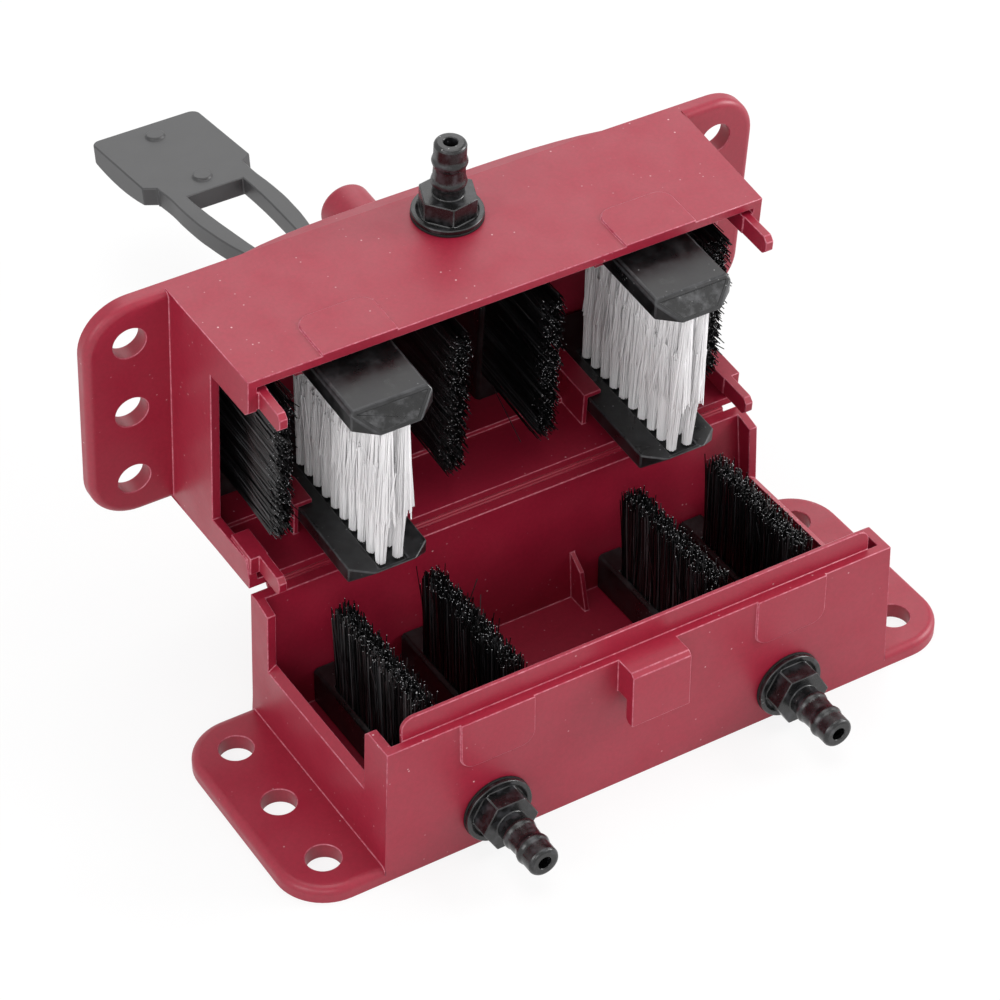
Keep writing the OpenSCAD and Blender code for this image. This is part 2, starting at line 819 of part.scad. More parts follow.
// Brush strip, z to the bristles, y along it from y0 to y1, with a seat for the bristles
module strip(h, y0, y1) {
    color("black") difference() {
        along_y(y0, y1) polygon([
            [-strip_w / 2, 0], [strip_w / 2, 0], [strip_w / 2, h - strip_c],
            [strip_w / 2 - strip_c, h], [strip_c - strip_w / 2, h], [-strip_w / 2, h - strip_c]
        ]);
        strip_slice(h, y0, y1, fit);
    }
}

module strip_slice(h, y0, y1, grow) {
    translate([-slice_w / 2 - grow, y0 + strip_end - grow, h - slice_t])
        cube([slice_w + 2 * grow, y1 - y0 - 2 * strip_end + 2 * grow, slice_t + grow]);
}

// Two columns of single strands that reach the parting line
module strip_bristles(h, y0, y1, reach, seed) {
    run = y1 - y0 - 2 * strip_end - 2 * strand_r - 2 * slice_t;
    color("dimgray") {
        strip_slice(h, y0, y1, 0);
        for (i = [0 : strip_rows - 1], c = [-1, 1]) {
            y = (y0 + y1) / 2 + run * (i / (strip_rows - 1) - 1 / 2);
            l = reach - h + strip_uneven * (uneven(5 * i + 3 * c + seed) - 1);
            lean = atan(strip_lean * uneven(2 * i + c + seed) / reach);
            translate([c * strip_column, y, h - slice_t / 2]) rotate([lean, 0, 0])
                cylinder(r = strand_r, h = l + slice_t / 2, $fn = 3);
        }
    }
}

// Strips in the base: one on each side of a bar, clear of its path
base_strip_y0 = rim_back + fit;
base_strip_y1 = base_back - back_foot - fit;
outer_base_x = bar_x + bar_w / 2 + strip_offset;
inner_base_x = bar_x - bar_w / 2 - strip_offset;

module base_strip(x) {
    translate([x, 0, floor_t]) strip(base_strip_h, base_strip_y0, base_strip_y1);
}
module base_bristles(x, seed) {
    translate([x, 0, floor_t])
        strip_bristles(base_strip_h, base_strip_y0, base_strip_y1, base_h - floor_t, seed);
}

module base_outer_left_strip() { base_strip(-outer_base_x); }
module base_inner_left_strip() { base_strip(-inner_base_x); }
module base_inner_right_strip() { base_strip(inner_base_x); }
module base_outer_right_strip() { base_strip(outer_base_x); }
module base_outer_left_bristles() { base_bristles(-outer_base_x, 1); }
module base_inner_left_bristles() { base_bristles(-inner_base_x, 2); }
module base_inner_right_bristles() { base_bristles(inner_base_x, 3); }
module base_outer_right_bristles() { base_bristles(outer_base_x, 4); }

// Strips in the lid, seated against the plate: the inner pair stands under the crown
lid_strip_y0 = -lid_u1 + wall_t + fit;
lid_strip_y1 = -lid_u0 - wall_t - liner_t - fit;
outer_lid_x = box_l / 2 - lid_strip_in;

module in_lid_strip(x) {
    on_lid() translate([x, 0, plate_in(abs(x) + strip_w / 2) - fit]) mirror([0, 0, 1]) children();
}
function lid_strip_height(x) = lid_strip_h + plate_in(abs(x) + strip_w / 2) - plate_w;

module lid_strip(x) {
    in_lid_strip(x) strip(lid_strip_height(x), lid_strip_y0, lid_strip_y1);
}
module lid_bristles(x, seed) {
    in_lid_strip(x) strip_bristles(lid_strip_height(x), lid_strip_y0, lid_strip_y1,
        plate_in(abs(x) + strip_w / 2) - hinge_up, seed);
}

module lid_outer_left_strip() { lid_strip(-outer_lid_x); }
module lid_inner_left_strip() { lid_strip(-inner_strip_x); }
module lid_inner_right_strip() { lid_strip(inner_strip_x); }
module lid_outer_right_strip() { lid_strip(outer_lid_x); }
module lid_outer_left_bristles() { lid_bristles(-outer_lid_x, 5); }
module lid_inner_left_bristles() { lid_bristles(-inner_strip_x, 6); }
module lid_inner_right_bristles() { lid_bristles(inner_strip_x, 7); }
module lid_outer_right_bristles() { lid_bristles(outer_lid_x, 8); }

base_shell();
lid_shell();
film_hinge();
latch_strap();
left_drain_spigot();
right_drain_spigot();
inlet_spigot();
drain_washers();
inlet_washer();
drain_nuts();
inlet_nut();
back_left_bar();
back_right_bar();
front_left_bar();
front_right_bar();
back_left_bristles();
back_right_bristles();
front_left_bristles();
front_right_bristles();
base_outer_left_strip();
base_inner_left_strip();
base_inner_right_strip();
base_outer_right_strip();
base_outer_left_bristles();
base_inner_left_bristles();
base_inner_right_bristles();
base_outer_right_bristles();
lid_outer_left_strip();
lid_inner_left_strip();
lid_inner_right_strip();
lid_outer_right_strip();
lid_outer_left_bristles();
lid_inner_left_bristles();
lid_inner_right_bristles();
lid_outer_right_bristles();
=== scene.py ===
"""Looks of a bike chain cleaner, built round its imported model.

Two moulded half shells of red ABS meet at a film hinge. Four black brush bars with white tufts
hang in the lid's rails, and eight black brush strips line both halves. Hose spigots, a handle
peg and a rubber latch strap stand outside. Lengths are in metres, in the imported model's frame.
"""

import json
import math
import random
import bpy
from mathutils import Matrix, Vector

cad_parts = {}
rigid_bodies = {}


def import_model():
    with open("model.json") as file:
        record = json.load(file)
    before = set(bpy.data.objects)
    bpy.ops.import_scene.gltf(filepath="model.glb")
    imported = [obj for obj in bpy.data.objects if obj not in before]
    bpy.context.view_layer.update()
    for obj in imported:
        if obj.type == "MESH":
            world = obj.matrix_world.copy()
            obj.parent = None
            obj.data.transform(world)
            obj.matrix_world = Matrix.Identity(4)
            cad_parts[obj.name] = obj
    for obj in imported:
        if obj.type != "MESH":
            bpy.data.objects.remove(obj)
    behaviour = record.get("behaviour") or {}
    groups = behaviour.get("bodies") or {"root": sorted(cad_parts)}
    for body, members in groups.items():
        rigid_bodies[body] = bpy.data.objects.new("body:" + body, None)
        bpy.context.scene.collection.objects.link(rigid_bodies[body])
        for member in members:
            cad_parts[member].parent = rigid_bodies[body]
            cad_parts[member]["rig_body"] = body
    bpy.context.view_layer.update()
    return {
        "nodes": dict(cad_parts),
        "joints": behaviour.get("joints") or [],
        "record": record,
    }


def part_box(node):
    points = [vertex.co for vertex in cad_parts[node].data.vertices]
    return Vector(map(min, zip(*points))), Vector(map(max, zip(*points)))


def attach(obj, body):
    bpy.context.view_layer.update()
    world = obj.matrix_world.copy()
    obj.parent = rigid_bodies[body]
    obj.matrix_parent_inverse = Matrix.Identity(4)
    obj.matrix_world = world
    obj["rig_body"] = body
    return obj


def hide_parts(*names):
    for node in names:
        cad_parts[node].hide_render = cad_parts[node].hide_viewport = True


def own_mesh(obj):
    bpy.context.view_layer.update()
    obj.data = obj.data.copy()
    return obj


bl_info = {
    "name": "Chain cleaner looks",
    "version": (1, 0, 0),
    "blender": (4, 5, 0),
    "location": "View3D > Sidebar > Chain cleaner",
    "description": "Builds the visible pieces of an open bike chain cleaner and its stage",
    "category": "Object",
}

import bmesh
import bpy
from bpy.props import FloatProperty, IntProperty, PointerProperty, StringProperty
from mathutils import Matrix, Vector

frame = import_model()

MM = 0.001

# Rounding of the edges of each kind of piece
BAR_EDGE = 0.36 * MM
STRIP_EDGE = 0.25 * MM
SPIGOT_EDGE = 0.22 * MM
NUT_EDGE = 0.25 * MM
WASHER_EDGE = 0.12 * MM
STRAP_EDGE = 0.35 * MM

# The recess in a bar's slanted end: an inset and a depth for its border and for its wall
BAR_END_STEPS = ((0.95 * MM, 0), (0.15 * MM, -0.15 * MM))
BAR_SHORT_EDGE = 0.4 * MM

# Bundles of strands: radius at the foot and at the tip, how unevenly the tips are cut, and how
# far a tip strays. Some strands stray further.
WHITE_SPREAD = (1.08 * MM, 2.1 * MM)
WHITE_UNEVEN = 2.4 * MM
WHITE_STRAY = 0.35 * MM
BLACK_SPREAD = (0.95 * MM, 0.8 * MM)
BLACK_UNEVEN = 2.6 * MM
BLACK_STRAY = 0.5 * MM
WILD_SHARE = 0.03
WILD_TIMES = 4
# Share of black strands whose cut tip is painted pale: a painted glint
GLINT_CUT_SHARE = 0.25
GOLDEN_ANGLE = math.radians(137.5)
SUNK = 0.4 * MM
TAPER = 0.92

# Black strips: three columns of tufts, and the ends left bare
STRIP_COLUMN = 1.5 * MM
STRIP_FOOT = 1 * MM
STRIP_END = 1.6 * MM
STRIP_JITTER = 0.3 * MM

# Tones beside the colours that a user sets, as sRGB hex values
WHITE = (1, 1, 1, 1)
WHITE_SHADED = "F6F5F6"
BLACK_LIGHTER = "3C3C3E"
# Pale tones for the tips of those strands: a painted glint
CUT_END_GLINT_TONES = ("8C8C8F", "E4E4E6")
# Pale chips on the shells' rounded edges: partly wear, partly painted highlight
PALE_CHIP_AND_HIGHLIGHT = "D98E9B"
RED_LINT = "DDB4B8"
BLACK_LINT = "8E8E8E"
PLATE_LINT = "DADADA"
PLATE_RUB = "46464A"
BLACK_SCUFF = "2C2C2E"
# Lighter greys on the bars' rounded edges: partly rubbing, partly painted highlight
EDGE_RUB_AND_HIGHLIGHT_TONES = ("2C2C2E", "4A4A4C")
BAR_END_TONES = ("0B0B0C", "5C5C5E")
WASHER_WORN = "1E1E1E"

# Stage, in metres: lamps as name, place, side of the square and power in watts
LAMPS = (
    ("overhead", (0.1, 0.1, 1.3), 0.9, 4.8),
    ("behind", (0.62, 1.05, 1.0), 1.1, 4.9),
    ("right", (1.25, -0.4, 0.6), 0.6, 13.0),
    ("front_right", (0.85, -1.1, 0.7), 0.5, 1.6),
    ("front_left", (-0.6, -1.1, 0.6), 0.5, 2.3),
    ("left", (-1.25, -0.35, 0.7), 0.7, 6.0),
)
LAMP_AIM = Vector((0, 0.03, 0.04))
CAMERA_AIM = Vector((-0.8, 30.0, 36.5)) * MM
SKY_STRENGTH = 0.43
FLOOR_HALF = 3
FLOOR_CLEAR = 0.01 * MM
FLOOR_GLOW = 1.02
FLOOR_BURNT_OUT = 0.82

# The lid's own frame: x along the box, u from the hinge to its front wall, w to its plate
HINGE = Vector(next(j["pos_m"] for j in frame["joints"] if j["name"] == "lid_hinge"))
STRAP_PIVOT = Vector(next(j["pos_m"] for j in frame["joints"] if j["name"] == "strap_pivot"))
MOUNTS = {m["name"]: m for m in frame["record"]["mounts"]}
LID_U = Vector(MOUNTS["inlet_tip"]["axis"])
LID_W = Vector(MOUNTS["handle_peg"]["axis"])


# Sizes and colours a user would change


def length_property(name, description, millimetres, low=0.01, high=1000):
    return FloatProperty(name=name, description=description, default=millimetres * MM,
                         min=low * MM, max=high * MM, unit="LENGTH", precision=5)


def colour_property(name, description, default):
    return StringProperty(name=name, description=description + ", as an sRGB hex value",
                          default=default)


class ShellSettings(bpy.types.PropertyGroup):
    edge: length_property("Edge", "Rounding along the moulded shells' edges", 0.2)
    colour: colour_property("Red", "Colour of the moulded shells", "9D1A34")
    # Paler red of the rounded edges: partly stress whitening, partly painted highlight
    worn: colour_property("Whitened edge and highlight", "Colour of the rounded edges, stress whitening and painted highlight", "AE3850")


class BristleSettings(bpy.types.PropertyGroup):
    rows: IntProperty(name="Tuft rows", description="Rows of tufts on a bar", default=10, min=1)
    pitch: length_property("Row pitch", "Distance between rows on a bar", 4)
    first_row: length_property("First row", "Distance of the first row from a bar's end", 3.3)
    gap: length_property("Column gap", "Distance between a bar's two columns", 4.2)
    white_reach: length_property("White reach", "Length of the white strands", 28.4)
    white_strand: length_property("White strand", "Radius of a white strand", 0.165)
    white_count: IntProperty(name="White strands", description="Strands in a white tuft",
                             default=84, min=3)
    black_strand: length_property("Black strand", "Radius of a black strand", 0.15)
    black_count: IntProperty(name="Black strands", description="Strands in a black tuft",
                             default=34, min=3)
    black_rows: IntProperty(name="Strip rows", description="Rows of tufts on a strip",
                            default=16, min=2)
    white: colour_property("White nylon", "Colour of the white strands", "FDFCFD")
    black: colour_property("Black nylon", "Colour of the black strands", "0C0C0D")


class FittingSettings(bpy.types.PropertyGroup):
    plating: colour_property("Plating", "Colour of the plated spigots and nuts", "0D0D0E")
    rubber: colour_property("Rubber", "Colour of the latch strap", "404041")
    washer: colour_property("Washer", "Colour of the sealing washers", "0E0E0E")
    plastic: colour_property("Black plastic", "Colour of the bars and strips", "0D0D0E")


class StageSettings(bpy.types.PropertyGroup):
    turn: FloatProperty(name="Turn", description="Camera's turn to the left of the front",
                        default=math.radians(31.31), subtype="ANGLE")
    rise: FloatProperty(name="Rise", description="Camera's height over the horizon",
                        default=math.radians(39.59), subtype="ANGLE")
    distance: length_property("Distance", "Camera's distance from what it looks at", 801)
    lens: FloatProperty(name="Lens", description="Focal length in millimetres",
                        default=126.7, min=10)
    floor: colour_property("Floor", "Colour of the floor", "F4F4F4")


# Materials


def colour(hex_value):
    """sRGB hex to the linear colour that shaders take."""
    parts = [int(hex_value[i:i + 2], 16) / 255 for i in (0, 2, 4)]
    linear = [p / 12.92 if p <= 0.04045 else ((p + 0.055) / 1.055) ** 2.4 for p in parts]
    return (*linear, 1.0)


def add_node(tree, kind, settings=None, links=None):
    """Adds a node with its attributes or socket values, and links into its sockets."""
    node = tree.nodes.new(kind)
    for key, value in (settings or {}).items():
        if isinstance(key, str) and hasattr(node, key):
            setattr(node, key, value)
        else:
            node.inputs[key].default_value = value
    for key, source in (links or {}).items():
        tree.links.new(source, node.inputs[key])
    return node


class Finish:
    """A material under construction, with the patterns that its nodes make."""

    def __init__(self, name):
        self.material = bpy.data.materials.new(name)
        self.material.use_nodes = True
        self.tree = self.material.node_tree
        self.shader = self.tree.nodes["Principled BSDF"]
        self.coords = self.add("ShaderNodeTexCoord").outputs["Object"]

    def add(self, kind, settings=None, links=None):
        return add_node(self.tree, kind, settings, links)

    def set(self, **values):
        for key, value in values.items():
            self.shader.inputs[key.replace("_", " ")].default_value = value

    def link(self, socket, source):
        self.tree.links.new(source, self.shader.inputs[socket])

    def noise(self, millimetres, detail=3.0, roughness=0.5):
        """Noise whose features are about that size."""
        return self.add("ShaderNodeTexNoise",
                        {"Scale": 1 / (millimetres * MM), "Detail": detail,
                         "Roughness": roughness},
                        {"Vector": self.coords}).outputs["Fac"]

    def between(self, fac, low, high, dark, light):
        """Maps low..high of fac to two colours or values."""
        ramp = self.add("ShaderNodeValToRGB", links={"Fac": fac})
        ramp.color_ramp.elements[0].position = low
        ramp.color_ramp.elements[1].position = high
        ramp.color_ramp.elements[0].color = dark
        ramp.color_ramp.elements[1].color = light
        return ramp.outputs["Color"]

    def bump(self, height, strength, millimetres):
        return self.add("ShaderNodeBump",
                        {"Strength": strength, "Distance": millimetres * MM},
                        {"Height": height}).outputs["Normal"]


def grey(value):
    return (value, value, value, 1)


def dust(finish, base, amount, millimetres, tint):
    """Pale specks of lint and dust laid over a colour."""
    cells = finish.add("ShaderNodeTexVoronoi", {"Scale": 1 / (millimetres * MM)},
                       {"Vector": finish.coords}).outputs["Distance"]
    specks = finish.between(cells, 0.02 * amount, 0.05 * amount, grey(1), grey(0))
    gate = finish.between(finish.noise(14, 2), 0.5, 0.68, grey(0), grey(1))
    both = finish.add("ShaderNodeMath", {"operation": "MULTIPLY"}, {0: specks, 1: gate})
    mix = finish.add("ShaderNodeMix", {"data_type": "RGBA"},
                     {0: both.outputs[0], 6: base})
    mix.inputs[7].default_value = colour(tint)
    return mix.outputs[2]


def moulded_abs(name, hex_value, wear_and_highlight=False):
    """Injection-moulded ABS: a fine spark-eroded grain that softens the gloss, a faint haze, and
    lint. For the rounded edges the red turns pale in chips, partly where the edge was bent or
    knocked and partly as a painted highlight. The real grain is finer than a pixel, and is drawn
    0.35 to 0.9 mm wide so that it shows."""
    finish = Finish(name)
    deep = Vector(colour(hex_value)) * 0.84
    grain = finish.noise(0.9, 3, 0.7)
    tone = finish.between(grain, 0.35, 0.7, (*deep[:3], 1), colour(hex_value))
    if wear_and_highlight:
        # Pale chips along the edges: partly wear, partly painted highlight
        chips = finish.between(finish.noise(1.6, 5, 0.75), 0.4, 0.85, grey(0), grey(1))
        mix = finish.add("ShaderNodeMix", {"data_type": "RGBA"}, {0: chips, 6: tone})
        mix.inputs[7].default_value = colour(PALE_CHIP_AND_HIGHLIGHT)
        tone = mix.outputs[2]
    finish.link("Base Color", dust(finish, tone, 2.2, 2.4, RED_LINT))
    haze = finish.between(finish.noise(9, 4), 0.3, 0.75, grey(0.36), grey(0.5))
    finish.link("Roughness", haze)
    skin = finish.noise(0.35, 2, 0.6)
    finish.link("Normal", finish.bump(skin, 0.16, 0.02))
    finish.set(IOR=1.53, Specular_IOR_Level=0.5)
    return finish.material


def black_abs(name, hex_value, scuff=BLACK_SCUFF, patch=5):
    """Glossy black ABS with rubbed grey scuffs and handling dust."""
    finish = Finish(name)
    rub = finish.noise(patch, 5, 0.65)
    tone = finish.between(rub, 0.46, 0.8, colour(hex_value), colour(scuff))
    finish.link("Base Color", dust(finish, tone, 2.8, 1.6, BLACK_LINT))
    finish.link("Roughness", finish.between(rub, 0.35, 0.75, grey(0.26), grey(0.52)))
    finish.link("Normal", finish.bump(finish.noise(0.9, 4, 0.6), 0.18, 0.05))
    finish.set(IOR=1.53, Specular_IOR_Level=0.4)
    return finish.material


def nylon(name, common, lighter, start, roughness, sheen):
    """Extruded nylon monofilament: a smooth skin that glints along each strand, whose tone
    differs a little from strand to strand."""
    finish = Finish(name)
    tone = finish.add("ShaderNodeAttribute", {"attribute_name": "strand"}).outputs["Fac"]
    finish.link("Base Color", finish.between(tone, start, 1.0, colour(common), colour(lighter)))
    finish.set(Roughness=roughness, IOR=1.53, Sheen_Weight=sheen, Sheen_Roughness=0.4)
    return finish.material


def strap_rubber(name, hex_value):
    """Moulded grey rubber: matt, with a faint bloom."""
    finish = Finish(name)
    bloom = finish.noise(12, 5, 0.6)
    deep = (*[c * 0.85 for c in colour(hex_value)[:3]], 1)
    finish.link("Base Color", finish.between(bloom, 0.3, 0.7, deep, colour(hex_value)))
    finish.link("Normal", finish.bump(finish.noise(0.4, 3, 0.6), 0.2, 0.03))
    finish.set(Roughness=0.45, IOR=1.5, Specular_IOR_Level=0.5)
    return finish.material


def washer_rubber(name, hex_value):
    """Black nitrile sheet: dull and even."""
    finish = Finish(name)
    finish.link("Base Color", finish.between(finish.noise(3, 3), 0.3, 0.7, colour(hex_value),
                                             colour(WASHER_WORN)))
    finish.set(Roughness=0.7, IOR=1.5, Specular_IOR_Level=0.3)
    return finish.material


def black_plate(name, hex_value):
    """Turned brass under a black plated coat: a hard gloss with rubbed patches, a fine bump and
    lint.
    """
    finish = Finish(name)
    rub = finish.noise(2.4, 5, 0.6)
    tone = finish.between(rub, 0.5, 0.82, colour(hex_value), colour(PLATE_RUB))
    finish.link("Base Color", dust(finish, tone, 1.6, 1.9, PLATE_LINT))
    finish.link("Roughness", finish.between(rub, 0.3, 0.7, grey(0.2), grey(0.38)))
    finish.link("Normal", finish.bump(finish.noise(0.6, 3, 0.6), 0.12, 0.03))
    finish.set(IOR=1.6, Specular_IOR_Level=0.42)
    return finish.material


# Modelling helpers


def piece_from(bm, name, body, materials, nodes):
    """Turns a bmesh into a piece that rides on a body and stands for CAD nodes."""
    mesh = bpy.data.meshes.new(name)
    bm.to_mesh(mesh)
    bm.free()
    piece = bpy.data.objects.new(name, mesh)
    bpy.context.scene.collection.objects.link(piece)
    for material in materials:
        mesh.materials.append(material)
    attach(piece, body)
    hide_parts(*nodes)
    return piece


def merged_copy(node):
    """A bmesh copy of a CAD node, its loose triangles joined and its flat faces made whole."""
    bm = bmesh.new()
    bm.from_mesh(frame["nodes"][node].data)
    bmesh.ops.remove_doubles(bm, verts=bm.verts, dist=0.002 * MM)
    bmesh.ops.dissolve_limit(bm, angle_limit=math.radians(1.0), verts=bm.verts,
                             edges=bm.edges, delimit={"NORMAL"})
    for face in bm.faces:
        face.material_index = 0
        face.smooth = False
    return bm


def soften(bm, width, angle=32, segments=2, material=-1, crisp=()):
    """Rounds the sharp edges. Round walls and the new edges shade smooth, flat walls flat.
    Edges between two crisp faces stay as they are."""
    limit = math.radians(angle)
    sharp = [e for e in bm.edges if len(e.link_faces) == 2 and e.calc_face_angle(0) > limit
             and not all(f in crisp for f in e.link_faces)]
    made = bmesh.ops.bevel(bm, geom=sharp, offset=width, offset_type="OFFSET",
                           segments=segments, profile=0.5, affect="EDGES",
                           clamp_overlap=False, material=material)
    rounded = set(made["faces"])
    for face in bm.faces:
        face.smooth = True
    for edge in bm.edges:
        sides = edge.link_faces
        if len(sides) != 2:
            continue
        new = [f in rounded for f in sides]
        if all(new):
            continue
        areas = sorted(f.calc_area() for f in sides)
        edge.smooth = (not any(new) and edge.calc_face_angle(0) < limit
                       and areas[1] < 6 * areas[0])


def softened_piece(node, width, materials, body, material=-1):
    """A CAD node's own shape with rounded edges, in place of the node."""
    bm = merged_copy(node)
    soften(bm, width, material=material)
    return piece_from(bm, node + "_moulded", body, materials, [node])


def body_of(node):
    """The name of the CAD body that a node rides on."""
    return frame["nodes"][node]["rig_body"]


def plain(node, material):
    """A CAD node whose shape is right keeps it, and takes a finish."""
    mesh = frame["nodes"][node].data
    mesh.materials.clear()
    mesh.materials.append(material)


# Operators, one for each piece or group of like pieces


class CLEANER_OT_shells(bpy.types.Operator):
    """Moulded base and lid, with their rounded edges, pale partly from stress whitening and partly
    as painted highlight, and the film hinge
    """

    bl_idname = "cleaner.shells"
    bl_label = "Shells"

    def execute(self, context):
        settings = context.scene.cleaner_shell
        red = moulded_abs("red_moulded_abs", settings.colour)
        # The rounded edges take a paler red: partly stress whitening, partly painted highlight
        worn = moulded_abs("abs_edge_wear_and_highlight", settings.worn, wear_and_highlight=True)
        for node in ("base_shell", "lid_shell"):
            softened_piece(node, settings.edge, [red, worn], body_of(node),
                           material=1)
        plain("film_hinge", red)
        return {"FINISHED"}


class CLEANER_OT_bars(bpy.types.Operator):
    """Black brush bars in the lid's rails"""

    bl_idname = "cleaner.bars"
    bl_label = "Brush bars"

    def execute(self, context):
        black = black_abs("black_bar_abs", context.scene.cleaner_fitting.plastic)
        # The rounded edges take lighter greys: partly rubbing, partly painted highlight
        rubbed = black_abs("rubbed_and_highlit_bar_edge", *EDGE_RUB_AND_HIGHLIGHT_TONES, 2.5)
        worn = black_abs("scuffed_bar_end", *BAR_END_TONES, 3.2)
        for node in ("back_left_bar", "back_right_bar", "front_left_bar", "front_right_bar"):
            bm = merged_copy(node)
            # The end's shortest edges would fold over in the inset and the rounding
            bmesh.ops.remove_doubles(bm, verts=bm.verts, dist=BAR_SHORT_EDGE)
            back = -LID_U if node.startswith("back") else LID_U
            slant = (back - LID_W).normalized()
            end = max(bm.faces, key=lambda f: f.normal.dot(slant) + f.calc_area())
            crisp = {end}
            for inset, depth in BAR_END_STEPS:
                crisp.update(bmesh.ops.inset_region(
                    bm, faces=[end], thickness=inset, depth=depth,
                    use_even_offset=True, use_boundary=True)["faces"])
            end.material_index = 2
            soften(bm, BAR_EDGE, angle=28, segments=3, material=1, crisp=crisp)
            for face in bm.faces:
                if face.normal.dot(slant) > 0.9 and face.material_index != 1:
                    face.smooth = False
            piece_from(bm, node + "_moulded", "lid", [black, rubbed, worn],
                       [node])
        return {"FINISHED"}


class CLEANER_OT_strips(bpy.types.Operator):
    """Black brush strips of the base and the lid"""

    bl_idname = "cleaner.strips"
    bl_label = "Brush strips"

    def execute(self, context):
        black = black_abs("black_strip_abs", context.scene.cleaner_fitting.plastic)
        for node in frame["nodes"]:
            if node.endswith("_strip"):
                softened_piece(node, STRIP_EDGE, [black], body_of(node))
        return {"FINISHED"}


def strand(bm, foot, tip, radius, sides, tone, layer, cut=False):
    """One filament from foot to tip. With cut set, its tip cap takes the second finish, a pale
    tone that is a painted glint.
    """
    way = tip - foot
    turn = way.to_track_quat("Z", "Y").to_matrix().to_4x4()
    place = Matrix.Translation((foot + tip) / 2) @ turn
    made = bmesh.ops.create_cone(bm, cap_ends=True, cap_tris=False, segments=sides,
                                 radius1=radius, radius2=radius * TAPER, depth=way.length,
                                 matrix=place)
    for vert in made["verts"]:
        vert[layer] = tone
    if cut:
        for face in made["verts"][-1].link_faces:
            face.normal_update()
            if abs(face.normal.dot(way.normalized())) > 0.9:
                face.material_index = 1


def tuft(bm, layer, foot, out, across, along, reach, spread, radius, count, sides, uneven, dice,
         stray, cut=0.0):
    """A round bundle of filaments: sunflower feet, tips that splay and end unevenly."""
    bundle = bmesh.new()
    bundle_layer = bundle.verts.layers.float.new(layer.name)
    for k in range(count):
        r = math.sqrt((k + 0.5) / count)
        a = k * GOLDEN_ANGLE + dice.uniform(-0.2, 0.2)
        side = across * math.cos(a) + along * math.sin(a)
        start = foot + side * (r * spread[0])
        lean = side * (r * spread[1] * dice.uniform(0.4, 1.2))
        wild = WILD_TIMES if dice.random() < WILD_SHARE else 1
        lean += (across * dice.gauss(0, 1) + along * dice.gauss(0, 1)) * stray * wild
        end = foot + lean + out * (reach + uneven * dice.uniform(-1, 0.35))
        strand(bundle, start, end, radius, sides, dice.random(), bundle_layer,
               cut=dice.random() < cut)
    mesh = bpy.data.meshes.new("bundle")
    bundle.to_mesh(mesh)
    bundle.free()
    bm.from_mesh(mesh)
    bpy.data.meshes.remove(mesh)


class CLEANER_OT_white_bristles(bpy.types.Operator):
    """White nylon tufts between the opposed brush bars"""

    bl_idname = "cleaner.white_bristles"
    bl_label = "White bristles"

    def execute(self, context):
        settings = context.scene.cleaner_bristle
        white = nylon("white_nylon_strands", WHITE_SHADED, settings.white, 0.0, 0.38, 0.6)
        dice = random.Random(11)
        along = -LID_W
        for depth in ("back", "front"):
            out = LID_U if depth == "back" else -LID_U
            for side in ("left", "right"):
                node = f"{depth}_{side}_bristles"
                low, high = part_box(node)
                middle = Vector(((low.x + high.x) / 2, 0, 0))
                face = bar_face(f"{depth}_{side}_bar")
                bm = bmesh.new()
                layer = bm.verts.layers.float.new("strand")
                for row in range(settings.rows):
                    shift = settings.first_row + row * settings.pitch
                    if depth == "front":
                        shift -= settings.pitch / 4
                    for column in (-1, 1):
                        foot = (face + LID_W * shift - out * SUNK
                                + middle + Vector((column * settings.gap / 2, 0, 0)))
                        tuft(bm, layer, foot, out, Vector((1, 0, 0)), along,
                             settings.white_reach, WHITE_SPREAD, settings.white_strand,
                             settings.white_count, 4, WHITE_UNEVEN, dice, WHITE_STRAY)
                piece_from(bm, node + "_tufts", "lid", [white], [node])
        return {"FINISHED"}


def bar_face(node):
    """The tufted face of a bar at its free end, over the middle of the box."""
    mesh = frame["nodes"][node].data
    inward = -LID_U if node.startswith("front") else LID_U
    return (inward * max(v.co.dot(inward) for v in mesh.vertices)
            + LID_W * min(v.co.dot(LID_W) for v in mesh.vertices))


